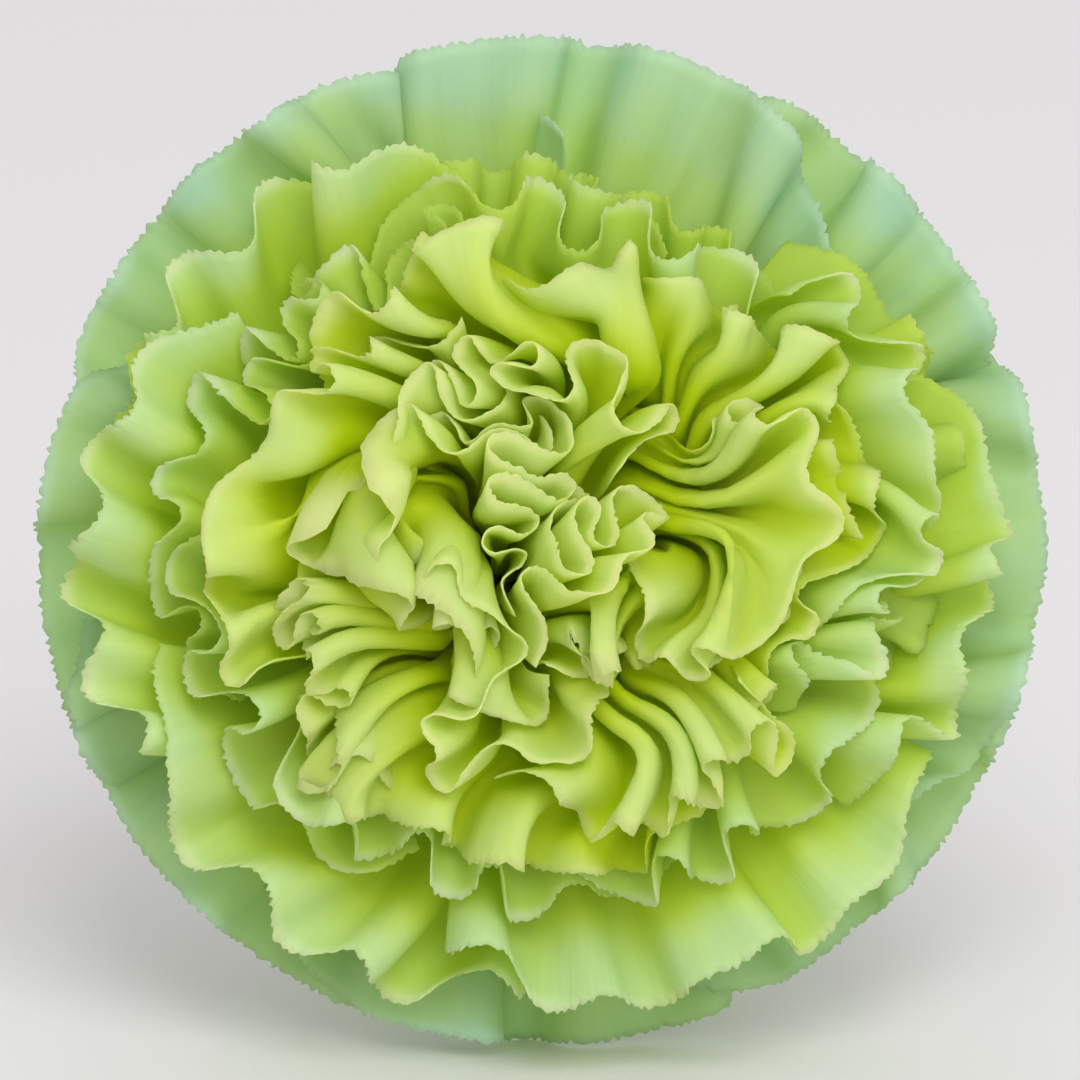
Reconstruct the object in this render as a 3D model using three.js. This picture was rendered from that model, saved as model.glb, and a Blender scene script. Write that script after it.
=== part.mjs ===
// A cut carnation lying on a flat surface: a full double bloom, its calyx with two pairs of
// bracts at the foot, the pistil inside, and a short stem with two pairs of leaves.
//
// The flower is drawn in its own frame first. Its axis is +Z, the mouth of the calyx is at the
// origin, and the stem runs down -Z. The whole flower is then tipped over, so that the rim of
// the bloom and the cut end of the stem both touch the surface z = 0. The bloom faces -Y.
import * as THREE from "three";

// ---------- Driving dimensions, in millimetres and degrees ----------
const BLOOM_RADIUS = 42; // from the axis to the margin of the guard petals
const GUARD_LEAN = 97; // how far the guard petals lean from the axis at their margin
const CROWN_LEAN = 3; // the same, for the innermost petals
const LEAN_POWER = 1.05; // above 1, the petals near the axis stand up more
const CROWN_BLADE = 32; // length of the innermost petals above the calyx
const BLADE_POWER = 1.4; // above 1, the petals stay long further out from the axis
const GUARD_BEND = 9; // length over which a guard petal turns outwards
const CROWN_BEND = 20; // the same, for the innermost petals
const MARGIN_ROUND = 0.16; // how much shorter a blade is at its corners than at its middle
const BLADE_THICKNESS = 0.6;
const FLARE_SHARE = 0.55; // the part of a blade over which it spreads to its full width

const CLAW_WIDTH = 2.1; // the narrow foot of a petal, inside the calyx
const CLAW_THICKNESS = 0.3;
const CROWN_CLAW_RADIUS = 1.35; // from the axis to the innermost claws, at the calyx's mouth

const CALYX_LENGTH = 32;
const CALYX_MOUTH_RADIUS = 8.2;
const CALYX_FOOT_RADIUS = 6.6;
const CALYX_WALL = 0.8;
const CALYX_FLOOR_THICKNESS = 3.2;
const CALYX_NECK_STEP = 0.6; // how much wider than the stem the calyx is at its very foot
const CALYX_SHOULDER = 0.16; // the part of its length over which the foot swells from the stem
const CALYX_TEETH = 5;
const TOOTH_LENGTH = 5.5;

const OVARY_RADIUS = 1.9;
const OVARY_LENGTH = 12;
const STYLE_RADIUS = 0.4;
const STYLE_SPREAD = 0.6; // from the axis to the foot of each style
const STYLE_TOP = 14; // how far the styles stand above the mouth of the calyx
const RECEPTACLE_THICKNESS = 1.6;

const BRACT_LENGTH = 11;
const BRACT_THICKNESS = 0.6;
const BRACT_HALF_SPAN = 66; // how far a bract reaches round the calyx, to each side
const BRACT_FOOT = 0.6; // from the foot of the calyx up to the foot of the inner bracts
const BRACT_STEP = 0.9; // how much lower the outer bracts start

const STEM_LENGTH = 120;
const STEM_RADIUS = 2.3; // at its cut end
const STEM_TAPER = 0.86; // the stem's thickness below the calyx, as a part of the cut end's
const STEM_BOW = 3; // the most that the stem strays sideways from a straight line
const STEM_NODE_SWELL = 0.9; // how much thicker the stem is at a joint
const STEM_NODE_LENGTH = 2.6; // how far the swelling reaches to each side of a joint

const LEAF_THICKNESS = 0.7;
const SHEATH_LENGTH = 5.5; // the foot of a leaf, which wraps the stem above its joint
const SHEATH_HALF_SPAN = 76; // how far a sheath reaches round the stem, to each side
const LEAF_CHANNEL = 0.25; // how deep a leaf is folded along its middle, as a part of its width
const GAP = 0.35; // between pieces that touch on the real flower

// One row for each ring of petals, from the crown outwards: how many petals, how wide each blade
// spreads round the axis, and the azimuth of the first one.
const WHORLS = [
  { name: "crown_petal", count: 3, span: 128, first: 80 },
  { name: "heart_petal", count: 5, span: 92, first: 20 },
  { name: "inner_petal", count: 7, span: 70, first: 0 },
  { name: "middle_petal", count: 8, span: 62, first: 30 },
  { name: "outer_petal", count: 8, span: 64, first: 20 },
  { name: "guard_petal", count: 8, span: 66, first: -90 },
];

// One row for each pair of leaves, from the calyx down: how far below the calyx its joint is, the
// azimuth of its first leaf, the leaf's length and width, how far it leans out at its foot and
// how much it curls back.
const LEAF_PAIRS = [
  { name: "upper_leaf", below: 42, azimuth: 90, length: 38, width: 4.6, lean: 24, curl: 46 },
  { name: "lower_leaf", below: 98, azimuth: 0, length: 62, width: 5.4, lean: 16, curl: 40 },
];

// ---------- Small helpers ----------
const radians = THREE.MathUtils.degToRad;
const mix = THREE.MathUtils.lerp;
const ease = (x) => THREE.MathUtils.smoothstep(x, 0, 1);
const around = (radius, angle, height) =>
  new THREE.Vector3(radius * Math.cos(angle), radius * Math.sin(angle), height);

function geometryOf(points, triangles) {
  const geometry = new THREE.BufferGeometry().setFromPoints(points);
  geometry.setIndex(triangles);
  geometry.computeVertexNormals();
  return geometry;
}

const evenly = (count) => Array.from({ length: count + 1 }, (_, i) => i / count);

// A thin solid on the surface at(u, v), with u from -1 to 1 across and a row of points at each v
// of stations. Its upper face is on the side of dAt/du x dAt/dv.
function sheet(at, thickness, columns, stations) {
  const step = 1e-3;
  const rows = stations.length - 1;
  const points = [];
  for (const side of [0.5, -0.5])
    for (const v of stations)
      for (let i = 0; i <= columns; i++) {
        const u = (2 * i) / columns - 1;
        const across = at(u + step, v).sub(at(u - step, v));
        const along = at(u, Math.min(v + step, 1)).sub(at(u, Math.max(v - step, 0)));
        const normal = across.cross(along).normalize();
        points.push(at(u, v).addScaledVector(normal, side * thickness(v)));
      }
  const under = (columns + 1) * (rows + 1);
  const index = (i, j) => j * (columns + 1) + i;
  const triangles = [];
  for (let j = 0; j < rows; j++)
    for (let i = 0; i < columns; i++) {
      const [a, b, c, d] = [index(i, j), index(i + 1, j), index(i + 1, j + 1), index(i, j + 1)];
      triangles.push(a, b, c, a, c, d);
      triangles.push(under + a, under + c, under + b, under + a, under + d, under + c);
    }
  const rim = [];
  for (let i = 0; i < columns; i++) rim.push(index(i, 0));
  for (let j = 0; j < rows; j++) rim.push(index(columns, j));
  for (let i = columns; i > 0; i--) rim.push(index(i, rows));
  for (let j = rows; j > 0; j--) rim.push(index(0, j));
  rim.forEach((a, n) => {
    const b = rim[(n + 1) % rim.length];
    triangles.push(a, under + b, b, a, under + a, under + b);
  });
  return geometryOf(points, triangles);
}

// A closed solid through rings of points, which run anticlockwise about the way that the rings
// advance. Both ends are closed with a fan.
function ringed(rings) {
  const count = rings[0].length;
  const points = rings.flat();
  const triangles = [];
  for (let j = 0; j + 1 < rings.length; j++)
    for (let i = 0; i < count; i++) {
      const a = j * count + i;
      const b = j * count + ((i + 1) % count);
      triangles.push(a, b, b + count, a, b + count, a + count);
    }
  const middle = (ring) =>
    ring.reduce((sum, p) => sum.add(p), new THREE.Vector3()).divideScalar(ring.length);
  const foot = points.push(middle(rings[0])) - 1;
  const top = points.push(middle(rings.at(-1))) - 1;
  const last = (rings.length - 1) * count;
  for (let i = 0; i < count; i++) {
    const next = (i + 1) % count;
    triangles.push(foot, next, i, top, last + i, last + next);
  }
  return geometryOf(points, triangles);
}

// A solid of round section along path(t), with t from 0 to 1.
function rod(path, radius, sides, stations) {
  const step = 1e-3;
  const rings = stations.map((t) => {
    const forward = path(Math.min(t + step, 1))
      .sub(path(Math.max(t - step, 0)))
      .normalize();
    const right = new THREE.Vector3(0, 1, 0).cross(forward).normalize();
    const up = forward.clone().cross(right);
    return Array.from({ length: sides }, (_, i) => {
      const angle = (2 * Math.PI * i) / sides;
      return path(t)
        .addScaledVector(right, radius(t) * Math.cos(angle))
        .addScaledVector(up, radius(t) * Math.sin(angle));
    });
  });
  return ringed(rings);
}

// ---------- The nested bowls that the petals lie on ----------
// A bowl is named by w, from 0 on the axis to 1 at the guard petals. Each leans further out than
// the one inside it, at every height, so no two of them meet. Rings of petals are PITCH apart.
const PITCH = 1 / (WHORLS.length - 0.5);
const CALYX_FLOOR = -CALYX_LENGTH + CALYX_FLOOR_THICKNESS;
const CLAW_FOOT = CALYX_FLOOR + 2 * GAP + RECEPTACLE_THICKNESS;

function calyxRadius(height) {
  const t = (height + CALYX_LENGTH) / CALYX_LENGTH;
  const body = mix(CALYX_FOOT_RADIUS, CALYX_MOUTH_RADIUS, t);
  return mix(STEM_RADIUS + CALYX_NECK_STEP, body, ease(t / CALYX_SHOULDER));
}

const insideCalyx = (height) => calyxRadius(height) - CALYX_WALL - GAP;
const clawTop = (w) => mix(CROWN_CLAW_RADIUS, insideCalyx(0) - CLAW_THICKNESS, w);
const clawFoot = (w) => mix(OVARY_RADIUS + GAP, insideCalyx(CLAW_FOOT) - CLAW_THICKNESS, w);
const leanOf = (w) => radians(mix(CROWN_LEAN, GUARD_LEAN, w ** LEAN_POWER));
const bendOf = (w) => mix(CROWN_BEND, GUARD_BEND, w);

function profile(w, s) {
  const steps = 16;
  let radius = clawTop(w);
  let height = 0;
  for (let n = 0; n < steps; n++) {
    const angle = leanOf(w) * ease((s * (n + 0.5)) / steps / bendOf(w));
    radius += (s / steps) * Math.sin(angle);
    height += (s / steps) * Math.cos(angle);
  }
  return { radius, height };
}

const guardReach = profile(1, GUARD_BEND);
const GUARD_BLADE =
  GUARD_BEND + (BLOOM_RADIUS - guardReach.radius) / Math.sin(radians(GUARD_LEAN));
const bladeOf = (w) => mix(CROWN_BLADE, GUARD_BLADE, w ** BLADE_POWER);

// ---------- Petals ----------
const CLAW_SHARE = 0.22; // the part of v that the claw takes
const TWIST = 0.36; // how far a blade's two edges lie in front of and behind its bowl, in whorls
const TWIST_SHARE = 0.6; // the part of a blade over which it takes up that twist
const BLADE_START = 0.5; // the part of v over which a claw thickens into its blade
const PETAL_COLUMNS = 6;
const BLADE_ROWS = 6;

function petalSurface(whorl, azimuth, span) {
  const middle = (whorl + 0.5) * PITCH;
  return (u, v) => {
    if (v < CLAW_SHARE) {
      const t = v / CLAW_SHARE;
      const radius = mix(clawFoot(middle), clawTop(middle), t);
      return around(radius, azimuth + (u * CLAW_WIDTH) / 2 / radius, mix(CLAW_FOOT, 0, t));
    }
    const t = (v - CLAW_SHARE) / (1 - CLAW_SHARE);
    const w = middle + TWIST * PITCH * u * ease(t / TWIST_SHARE);
    const s = t * bladeOf(w) * (1 - MARGIN_ROUND * Math.abs(u) ** 4);
    const { radius, height } = profile(w, s);
    const clawAngle = CLAW_WIDTH / 2 / clawTop(middle);
    const half = mix(Math.min(clawAngle, span / 2), span / 2, ease(t / FLARE_SHARE));
    return around(radius, azimuth + u * half, height);
  };
}

function petals() {
  const made = [];
  WHORLS.forEach(({ name, count, span, first }, whorl) => {
    const outer = whorl / (WHORLS.length - 1);
    const colour = new THREE.Color(0xb4d24a).lerp(new THREE.Color(0xa9d79c), outer);
    const material = new THREE.MeshStandardMaterial({ color: colour, roughness: 0.6 });
    for (let n = 0; n < count; n++) {
      const azimuth = radians(first + (360 * n) / count);
      const surface = petalSurface(whorl, azimuth, radians(span));
      const thickness = (v) =>
        mix(CLAW_THICKNESS, BLADE_THICKNESS, ease((v - CLAW_SHARE) / BLADE_START));
      const stations = [0, ...evenly(BLADE_ROWS).map((t) => mix(CLAW_SHARE, 1, t))];
      const solid = sheet(surface, thickness, PETAL_COLUMNS, stations);
      const mesh = new THREE.Mesh(solid, material);
      mesh.name = `${name}_${n + 1}`;
      made.push(mesh);
    }
  });
  return made;
}

// ---------- Calyx, bracts, receptacle and pistil ----------
const TOOTH_COLUMNS = 6; // an even number, so that each tooth has a point
const TOOTH_POWER = 0.8; // below 1, the sides of a tooth are hollow

function calyx() {
  const columns = TOOTH_COLUMNS * CALYX_TEETH;
  const rim = (i) => {
    const fromPoint = Math.abs((2 * (i % TOOTH_COLUMNS)) / TOOTH_COLUMNS - 1);
    return -TOOTH_LENGTH * fromPoint ** TOOTH_POWER;
  };
  const ring = (height, inwards) =>
    Array.from({ length: columns }, (_, i) => {
      const z = height(i);
      return around(calyxRadius(z) - inwards, (2 * Math.PI * i) / columns, z);
    });
  const bodyTop = -TOOTH_LENGTH;
  const shoulderRings = [0, 0.25, 0.55, 1].map((t) => t * CALYX_SHOULDER);
  const outside = [...shoulderRings, 0.42, 0.75].map((t) =>
    ring(() => mix(-CALYX_LENGTH, bodyTop, t), 0),
  );
  const inside = [mix(CLAW_FOOT, bodyTop, 0.5), CLAW_FOOT, CALYX_FLOOR].map((height) =>
    ring(() => height, CALYX_WALL),
  );
  const toothed = [ring(rim, 0), ring(rim, CALYX_WALL)];
  const material = new THREE.MeshStandardMaterial({ color: 0x86a45c, roughness: 0.55 });
  const mesh = new THREE.Mesh(ringed([...outside, ...toothed, ...inside]), material);
  mesh.name = "calyx";
  return mesh;
}

// Each bract is a short broad scale that lies on the calyx's foot. The outer pair crosses the
// inner pair at a right angle and lies over it.
function bracts() {
  const sideRound = 0.3; // how much lower a bract's sides are than its middle, where it is widest
  const tipPower = 2.4; // above 2, the tip is blunt
  const tipWidth = 0.055; // the width that is left at the tip, as a part of the whole
  const outerShare = 0.88; // the length of an outer bract, as a part of an inner one's
  const material = new THREE.MeshStandardMaterial({ color: 0x7f9f66, roughness: 0.6 });
  return ["inner_bract", "outer_bract"].flatMap((name, pair) =>
    [0, 1].map((side) => {
      const lift = GAP + BRACT_THICKNESS / 2 + pair * (BRACT_THICKNESS + GAP);
      const azimuth = Math.PI * side + (pair * Math.PI) / 2;
      const foot = -CALYX_LENGTH + BRACT_FOOT - BRACT_STEP * pair;
      const length = BRACT_LENGTH * (pair ? outerShare : 1);
      const surface = (u, v) => {
        const narrowing = Math.sqrt(Math.max(1 - v ** tipPower, tipWidth ** 2));
        const height = foot + v * length * (1 - sideRound * (u * narrowing) ** 2);
        const slope = calyxRadius(height + 0.5) - calyxRadius(height - 0.5);
        const clear = calyxRadius(height) + lift * Math.hypot(1, slope);
        return around(clear, azimuth + u * radians(BRACT_HALF_SPAN) * narrowing, height);
      };
      const mesh = new THREE.Mesh(sheet(surface, () => BRACT_THICKNESS, 6, evenly(6)), material);
      mesh.name = `${name}_${side + 1}`;
      return mesh;
    }),
  );
}

function receptacle() {
  const sides = 18;
  const low = CALYX_FLOOR + GAP;
  const radius = insideCalyx(CALYX_FLOOR);
  const ring = (z) =>
    Array.from({ length: sides }, (_, i) => around(radius, (2 * Math.PI * i) / sides, z));
  const mesh = new THREE.Mesh(
    ringed([ring(low), ring(low + RECEPTACLE_THICKNESS)]),
    new THREE.MeshStandardMaterial({ color: 0xb9cf8a, roughness: 0.6 }),
  );
  mesh.name = "receptacle";
  return mesh;
}

// The ovary stands on the receptacle, and its two styles run up the axis between the petals.
function pistil() {
  const widest = 0.45; // where the ovary is widest, from 0 at its foot to 1 at its top
  const endWidth = 0.32; // how wide its ends are, as a part of the widest
  const taper = 0.25; // how much it narrows towards the top
  const styleTaper = 0.3;
  const styleSplay = new THREE.Vector3(0.25, 0.2, 0); // how far a style's tip strays
  const material = new THREE.MeshStandardMaterial({ color: 0xc6dd8e, roughness: 0.5 });
  const ovaryPath = (t) => new THREE.Vector3(0, 0, CLAW_FOOT + t * OVARY_LENGTH);
  const ovaryRadius = (t) => {
    const rounding = Math.sqrt(Math.max(1 - (2 * (t - widest)) ** 4, endWidth ** 2));
    return OVARY_RADIUS * rounding * (1 - taper * t);
  };
  const ovary = new THREE.Mesh(rod(ovaryPath, ovaryRadius, 12, evenly(6)), material);
  ovary.name = "ovary";
  const styleFoot = CLAW_FOOT + OVARY_LENGTH + GAP;
  const styles = [-1, 1].map((side) => {
    const path = (t) =>
      new THREE.Vector3(side * STYLE_SPREAD, 0, mix(styleFoot, STYLE_TOP, t))
        .addScaledVector(styleSplay, side * t * t);
    const radius = (t) => STYLE_RADIUS * (1 - styleTaper * t);
    const mesh = new THREE.Mesh(rod(path, radius, 8, evenly(5)), material);
    mesh.name = side < 0 ? "style_1" : "style_2";
    return mesh;
  });
  return [ovary, ...styles];
}

// ---------- Stem and leaves ----------
const stemTop = -CALYX_LENGTH - GAP;
const stemEnd = stemTop - STEM_LENGTH;
const stemAt = (below) => {
  const t = below / STEM_LENGTH;
  return new THREE.Vector3(STEM_BOW * Math.sin(Math.PI * t), 0, stemTop - below);
};

function stemRadiusAt(below) {
  const plain = STEM_RADIUS * mix(STEM_TAPER, 1, below / STEM_LENGTH);
  return LEAF_PAIRS.reduce((radius, leaf) => {
    const away = (below - leaf.below) / STEM_NODE_LENGTH;
    return radius + STEM_NODE_SWELL * Math.exp(-(away ** 2));
  }, plain);
}

// The stem's rings are close together at its joints and far apart between them.
function stem() {
  const joints = LEAF_PAIRS.flatMap(({ below }) =>
    [-2, -1, 0, 1, 2].map((n) => below + n * STEM_NODE_LENGTH),
  );
  const plain = evenly(8).map((t) => t * STEM_LENGTH);
  const clear = plain.filter((p) => joints.every((j) => Math.abs(p - j) > STEM_NODE_LENGTH));
  const stations = [...clear, ...joints].sort((a, b) => b - a).map((b) => 1 - b / STEM_LENGTH);
  const path = (t) => stemAt((1 - t) * STEM_LENGTH);
  const radius = (t) => stemRadiusAt((1 - t) * STEM_LENGTH);
  const mesh = new THREE.Mesh(
    rod(path, radius, 14, stations),
    new THREE.MeshStandardMaterial({ color: 0x7c9c62, roughness: 0.6 }),
  );
  mesh.name = "stem";
  return mesh;
}

// A leaf starts as a half sheath round the joint, leaves it at its lean, and curls back. A leaf
// at the side of the flower also droops onto the surface that the flower lies on.
function leafSurface({ below, length, width, lean, curl }, azimuth, droop) {
  const leanShare = 0.12; // the part of the leaf over which it leaves the stem
  const unwrapShare = 0.16; // the part over which the sheath opens into the flat blade
  const taper = 0.25; // how much the blade narrows before it rounds off at the tip
  const tipPower = 3; // above 2, the blade keeps its width for longer
  const tipWidth = 0.11; // the width that is left at the tip, as a part of the whole
  const droopPower = 1.6; // above 1, most of the droop is near the tip
  const sheathRadius = STEM_RADIUS + STEM_NODE_SWELL + GAP + LEAF_THICKNESS / 2;
  const out = around(1, azimuth, 0);
  const side = around(1, azimuth + Math.PI / 2, 0);
  const down = new THREE.Vector3(0, -1, 0);
  const start = stemAt(below + STEM_NODE_LENGTH);
  return (u, v) => {
    const along = v * (length + SHEATH_LENGTH);
    const free = Math.max(along - SHEATH_LENGTH, 0) / length;
    const steps = 10;
    let x = sheathRadius;
    let z = Math.min(along, SHEATH_LENGTH);
    for (let n = 0; n < steps; n++) {
      const part = (free * (n + 0.5)) / steps;
      const angle = radians(lean * ease(part / leanShare) + curl * part * part);
      x += ((free * length) / steps) * Math.sin(angle);
      z += ((free * length) / steps) * Math.cos(angle);
    }
    const narrowing = Math.sqrt(Math.max(1 - free ** tipPower, tipWidth ** 2));
    const half = (width / 2) * (1 - taper * free) * narrowing;
    const wrap = 1 - ease(free / unwrapShare);
    const q = u * mix(half, radians(SHEATH_HALF_SPAN) * sheathRadius, wrap);
    const angle = q / sheathRadius;
    const wrapped = new THREE.Vector3()
      .addScaledVector(out, sheathRadius * (Math.cos(angle) - 1))
      .addScaledVector(side, sheathRadius * Math.sin(angle));
    const channelled = new THREE.Vector3()
      .addScaledVector(side, q)
      .addScaledVector(out, -LEAF_CHANNEL * 2 * Math.abs(u) * half);
    return start
      .clone()
      .addScaledVector(out, x)
      .addScaledVector(down, droop * free ** droopPower)
      .add(channelled.lerp(wrapped, wrap))
      .add(new THREE.Vector3(0, 0, z));
  };
}

// ---------- How the flower lies ----------
// The rim of the bloom and the cut end of the stem touch the surface, which sets the tilt.
const rimHeight = profile(1, GUARD_BLADE).height;
const tilt = Math.atan((BLOOM_RADIUS - STEM_RADIUS) / (rimHeight - stemEnd));
const roomBelow = ({ y, z }) => STEM_RADIUS + y + (z - stemEnd) * Math.tan(tilt);

function leaves() {
  const material = new THREE.MeshStandardMaterial({ color: 0x7d9d78, roughness: 0.65 });
  return LEAF_PAIRS.flatMap((leaf) =>
    [0, 1].map((n) => {
      const azimuth = radians(leaf.azimuth) + Math.PI * n;
      const atTheSide = Math.abs(Math.cos(azimuth)) > Math.abs(Math.sin(azimuth));
      const tip = leafSurface(leaf, azimuth, 0)(0, 1);
      const droop = atTheSide ? roomBelow(tip) - LEAF_THICKNESS : 0;
      const surface = leafSurface(leaf, azimuth, droop);
      const mesh = new THREE.Mesh(sheet(surface, () => LEAF_THICKNESS, 4, evenly(14)), material);
      mesh.name = `${leaf.name}_${n + 1}`;
      return mesh;
    }),
  );
}

const flower = new THREE.Group();
flower.add(...petals(), calyx(), ...bracts(), receptacle(), ...pistil(), stem(), ...leaves());
flower.rotation.x = Math.PI / 2 - tilt;

// Lay it on the surface, with the origin below the middle of the whole flower.
const carnation = new THREE.Group();
carnation.add(flower);
carnation.updateMatrixWorld(true);
const bounds = new THREE.Box3().setFromObject(carnation, true);
const centre = bounds.getCenter(new THREE.Vector3());
flower.position.set(-centre.x, -centre.y, -bounds.min.z);

export default carnation;
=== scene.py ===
import bpy
import numpy as np
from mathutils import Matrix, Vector


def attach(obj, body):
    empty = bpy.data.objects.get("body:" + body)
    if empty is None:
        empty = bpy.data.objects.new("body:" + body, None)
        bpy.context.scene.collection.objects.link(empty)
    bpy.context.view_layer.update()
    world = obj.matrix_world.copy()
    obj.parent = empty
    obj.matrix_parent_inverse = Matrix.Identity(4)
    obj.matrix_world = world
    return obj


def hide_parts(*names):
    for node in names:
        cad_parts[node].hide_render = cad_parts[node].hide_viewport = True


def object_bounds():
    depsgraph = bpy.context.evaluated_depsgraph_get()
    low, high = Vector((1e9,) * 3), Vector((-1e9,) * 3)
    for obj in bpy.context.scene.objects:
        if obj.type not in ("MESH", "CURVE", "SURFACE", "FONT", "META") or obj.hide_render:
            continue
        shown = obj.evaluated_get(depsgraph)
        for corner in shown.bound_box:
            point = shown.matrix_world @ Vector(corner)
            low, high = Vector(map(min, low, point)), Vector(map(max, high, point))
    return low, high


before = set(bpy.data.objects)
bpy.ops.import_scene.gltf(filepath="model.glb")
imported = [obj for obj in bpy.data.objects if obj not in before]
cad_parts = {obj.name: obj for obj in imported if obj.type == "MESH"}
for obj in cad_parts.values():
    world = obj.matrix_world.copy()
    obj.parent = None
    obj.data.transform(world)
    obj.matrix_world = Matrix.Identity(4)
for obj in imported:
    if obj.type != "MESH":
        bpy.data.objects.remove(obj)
cad_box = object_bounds()

# ---------- How the flower lies, and the camera ----------
# A cut carnation, which lies on the rim of its bloom, the end of its stem and two leaf tips. Its
# axis is that of its calyx, a body of revolution, and the axis and the calyx's mouth are measured
# on the frame. The camera looks straight down the axis into the bloom, from far off.
MM = 0.001
CAMERA_DISTANCE = 1.6
BLOOM_SHARE = 0.943  # how much of the picture's width the bloom takes
SENSOR_WIDTH = 36.0
FARTHEST_SEEN = 20.0

calyx_points = np.array([v.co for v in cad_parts["calyx"].data.vertices])
calyx_middle = calyx_points.mean(0)
axis = np.linalg.svd(calyx_points - calyx_middle, full_matrices=False)[2][0]
axis = -axis if axis[1] > 0 else axis
mouth = calyx_middle + axis * ((calyx_points - calyx_middle) @ axis).max()
sideways = np.array([1.0, 0.0, 0.0])
upwards = np.cross(axis, sideways)
bloom_radius = (cad_box[1][0] - cad_box[0][0]) / 2


def place(points):
    """Takes points in millimetres on the flower's own axes, with the mouth of the calyx at the
    origin and the bloom towards +Z, to where they lie."""
    points = np.asarray(points, float) * MM
    return mouth + points @ np.array([sideways, upwards, axis])


camera = bpy.data.objects.new("camera", bpy.data.cameras.new("camera"))
camera.location = place([0, 0, 0]) + axis * CAMERA_DISTANCE
camera.rotation_euler = Vector(axis).to_track_quat("Z", "Y").to_euler()
camera.data.sensor_width = SENSOR_WIDTH
camera.data.lens = SENSOR_WIDTH * CAMERA_DISTANCE * BLOOM_SHARE / (2 * bloom_radius)
camera.data.clip_end = FARTHEST_SEEN
bpy.context.collection.objects.link(camera)
bpy.context.scene.camera = camera

# ---------- Floor and light ----------
# A plain pale table top and soft studio light: an even white room, one large soft lamp from above
# in front of the bloom, and a weaker one from the right.
FLOOR_SIZE = 30.0
FLOOR_COLOUR = (0.832, 0.820, 0.829, 1)
FLOOR_SHADE = 0.995  # how dark its darker patches are, against the rest
ROOM_COLOUR = (0.71, 0.695, 0.705, 1)
ROOM_STRENGTH = 1.0
KEY_LAMP = dict(place_at=(0.2, -1.35, 1.25), size=0.9, energy=13.5)
FILL_LAMP = dict(place_at=(0.9, -1.6, 0.5), size=1.2, energy=5.5)


class Wire:
    """A socket that can be used in plain arithmetic. Every sum adds a Math node."""

    def __init__(self, tree, socket=None):
        self.tree = tree
        self.socket = socket

    def node(self, kind, settings=None, inputs=None, output=0):
        """Adds a node of any kind. Settings come first, then the values or wires of its sockets,
        by name or number."""
        added = self.tree.nodes.new(kind)
        for name, value in (settings or {}).items():
            setattr(added, name, value)
        for name, value in (inputs or {}).items():
            if isinstance(value, Wire):
                self.tree.links.new(value.socket, added.inputs[name])
            else:
                added.inputs[name].default_value = value
        return Wire(self.tree, added.outputs[output] if added.outputs else None)

    def maths(self, operation, *values):
        return self.node("ShaderNodeMath", {"operation": operation}, dict(enumerate(values)))

    def __add__(self, other):
        return self.maths("ADD", self, other)

    def __sub__(self, other):
        return self.maths("SUBTRACT", self, other)

    def __rsub__(self, other):
        return self.maths("SUBTRACT", other, self)

    def __mul__(self, other):
        return self.maths("MULTIPLY", self, other)

    def __truediv__(self, other):
        return self.maths("DIVIDE", self, other)

    __radd__ = __add__
    __rmul__ = __mul__

    def ease(self, low, high):
        """0 below low, 1 above high, and smooth between."""
        settings = {"interpolation_type": "SMOOTHSTEP"}
        inputs = {"Value": self, "From Min": low, "From Max": high}
        return self.node("ShaderNodeMapRange", settings, inputs)

    def blend(self, first, second):
        """Goes from the first colour to the second as this wire goes from 0 to 1."""
        first, second = (
            colour if isinstance(colour, Wire) else (*colour[:3], 1) for colour in (first, second)
        )
        inputs = {0: self, 6: first, 7: second}
        return self.node("ShaderNodeMix", {"data_type": "RGBA"}, inputs, 2)

    def noise(self, vector, scale, detail=2.0, roughness=0.5):
        inputs = {"Vector": vector, "Scale": scale, "Detail": detail, "Roughness": roughness}
        return self.node("ShaderNodeTexNoise", {}, inputs)


def finish_material(name, colour, roughness, bump, see_through=None, **constants):
    """One material. colour, roughness and bump are functions of a start wire, and give what
    varies. see_through is the colour and the share of light that passes through the piece."""
    material = bpy.data.materials.new(name)
    material.use_nodes = True
    tree = material.node_tree
    tree.nodes.clear()
    start = Wire(tree)
    height, strength, distance = bump(start)
    inputs = {"Height": height, "Strength": strength, "Distance": distance}
    inputs = {
        "Base Color": colour(start),
        "Roughness": roughness(start),
        "Normal": start.node("ShaderNodeBump", {}, inputs),
        **constants,
    }
    surface = start.node("ShaderNodeBsdfPrincipled", {}, inputs)
    if see_through:
        glow, share = see_through
        through = start.node("ShaderNodeBsdfTranslucent", {}, {"Color": (*glow, 1)})
        surface = start.node("ShaderNodeMixShader", {}, {0: share, 1: surface, 2: through})
    start.node("ShaderNodeOutputMaterial", {}, {"Surface": surface})
    return material


def here(start):
    """The place on the piece, in metres."""
    return start.node("ShaderNodeTexCoord", output=3)


floor_material = finish_material(
    "floor",
    lambda start: start.noise(here(start), scale=3.0).ease(0.3, 0.7).blend(
        [c * FLOOR_SHADE for c in FLOOR_COLOUR], FLOOR_COLOUR
    ),
    lambda start: 0.9 + 0.05 * start.noise(here(start), scale=40.0),
    lambda start: (start.noise(here(start), scale=900.0), 0.05, 0.0002),
)
bpy.ops.mesh.primitive_plane_add(size=FLOOR_SIZE)
floor = bpy.context.object
floor.name = "floor"
floor.data.materials.append(floor_material)

room = bpy.data.worlds.new("room")
room.use_nodes = True
room.node_tree.nodes["Background"].inputs["Color"].default_value = ROOM_COLOUR
room.node_tree.nodes["Background"].inputs["Strength"].default_value = ROOM_STRENGTH
bpy.context.scene.world = room
bpy.context.scene.view_settings.view_transform = "Standard"


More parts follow.
